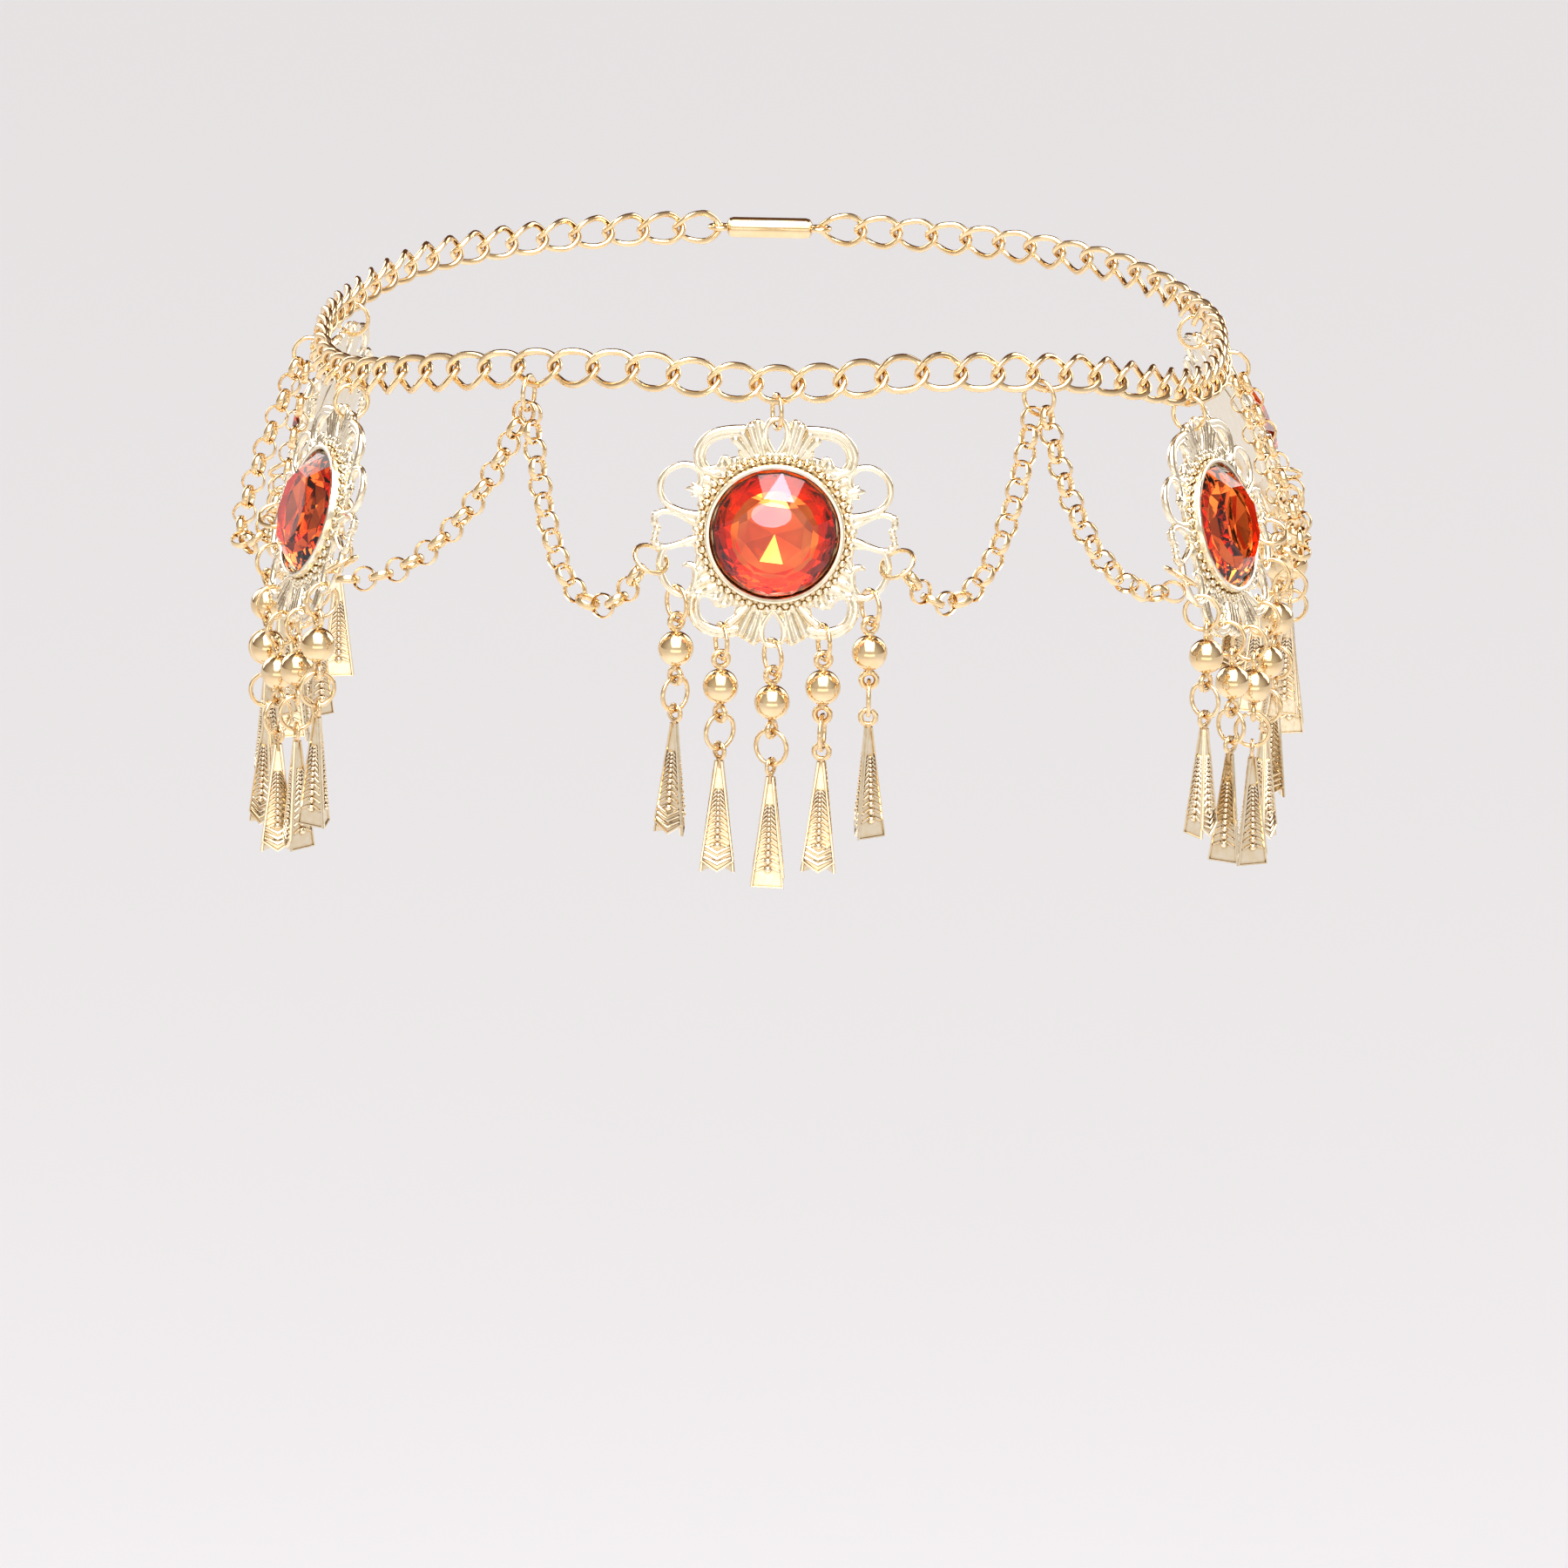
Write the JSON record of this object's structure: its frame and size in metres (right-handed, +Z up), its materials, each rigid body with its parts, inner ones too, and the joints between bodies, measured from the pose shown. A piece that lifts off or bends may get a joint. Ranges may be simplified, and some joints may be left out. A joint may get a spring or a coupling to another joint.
{
  "type": "forehead chain",
  "caption": "Gold-coloured forehead chain: a loop of twisted links with openwork medallions, round red stones, swags and hanging drops.",
  "frame": {"origin": "middle of the loop that the chain takes on a head, at the height of the link that the front medallion hangs from", "axes": "+Z up along the wearer, the front medallion on the -Y side, +X to the right in the picture"},
  "size_m": [0.1971, 0.1912, 0.0992],
  "materials": {
    "medallion_gold": "pale gold plate on cast metal, bright, with soft relief",
    "chain_gold": "gold plate, mirror bright",
    "red_glass": "clear red-orange faceted stone with a bright back"
  },
  "bodies": {
    "root": {"chain_left": "chain_gold", "chain_right": "chain_gold", "clasp": "chain_gold", "medallion_front": "medallion_gold", "medallion_left_temple": "medallion_gold", "medallion_right_temple": "medallion_gold", "medallion_left_rear": "medallion_gold", "medallion_right_rear": "medallion_gold", "stone_front": "red_glass", "stone_left_temple": "red_glass", "stone_right_temple": "red_glass", "stone_left_rear": "red_glass", "stone_right_rear": "red_glass", "rings_front": "chain_gold", "rings_left_temple": "chain_gold", "rings_right_temple": "chain_gold", "rings_left_rear": "chain_gold", "rings_right_rear": "chain_gold", "drop_front_1": "chain_gold", "drop_front_2": "chain_gold", "drop_front_3": "chain_gold", "drop_front_4": "chain_gold", "drop_front_5": "chain_gold", "drop_left_temple_1": "chain_gold", "drop_left_temple_2": "chain_gold", "drop_left_temple_3": "chain_gold", "drop_left_temple_4": "chain_gold", "drop_left_temple_5": "chain_gold", "drop_right_temple_1": "chain_gold", "drop_right_temple_2": "chain_gold", "drop_right_temple_3": "chain_gold", "drop_right_temple_4": "chain_gold", "drop_right_temple_5": "chain_gold", "drop_left_rear_1": "chain_gold", "drop_left_rear_2": "chain_gold", "drop_left_rear_3": "chain_gold", "drop_left_rear_4": "chain_gold", "drop_left_rear_5": "chain_gold", "drop_right_rear_1": "chain_gold", "drop_right_rear_2": "chain_gold", "drop_right_rear_3": "chain_gold", "drop_right_rear_4": "chain_gold", "drop_right_rear_5": "chain_gold", "hang_ring_left_front": "chain_gold", "hang_ring_right_front": "chain_gold", "hang_ring_left_side": "chain_gold", "hang_ring_right_side": "chain_gold", "swag_left_front_inner": "chain_gold", "swag_left_front_outer": "chain_gold", "swag_right_front_inner": "chain_gold", "swag_right_front_outer": "chain_gold", "swag_left_side_inner": "chain_gold", "swag_left_side_outer": "chain_gold", "swag_right_side_inner": "chain_gold", "swag_right_side_outer": "chain_gold"}
  },
  "joints": []
}
